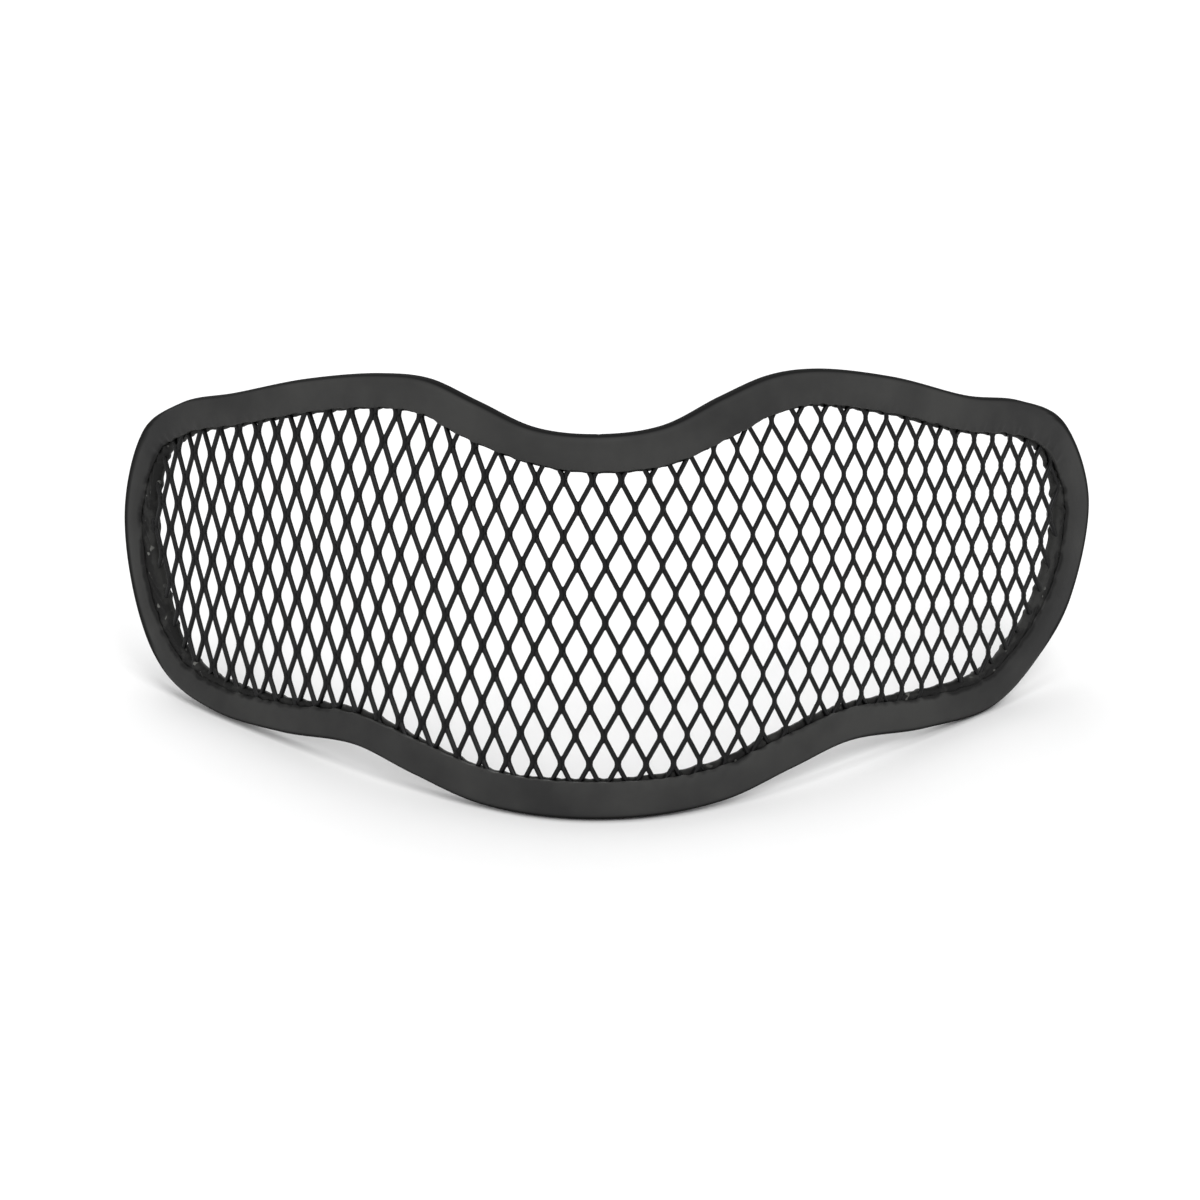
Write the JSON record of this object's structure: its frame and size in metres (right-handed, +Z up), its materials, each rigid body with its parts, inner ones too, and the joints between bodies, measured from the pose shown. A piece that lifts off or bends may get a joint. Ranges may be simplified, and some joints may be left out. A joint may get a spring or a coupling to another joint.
{
  "type": "airsoft mesh mask",
  "caption": "Lower-face guard of open steel mesh bent round nose, mouth and cheeks, with a folded leatherette strip bound over its whole edge.",
  "frame": {"origin": "on the surface the guard stands on, under the middle of its outer box", "axes": "+X from the wearer's right cheek to the left one, along its widest size; -Y out of its front, away from the face; +Z up as it stands by itself, leaning back on its chin edge and wing feet"},
  "size_m": [0.1678, 0.0708, 0.0649],
  "materials": {
    "black_steel": "satin",
    "leatherette": "matte"
  },
  "bodies": {
    "root": {"mesh_panel": "black_steel", "edge_binding": "leatherette"}
  },
  "joints": []
}
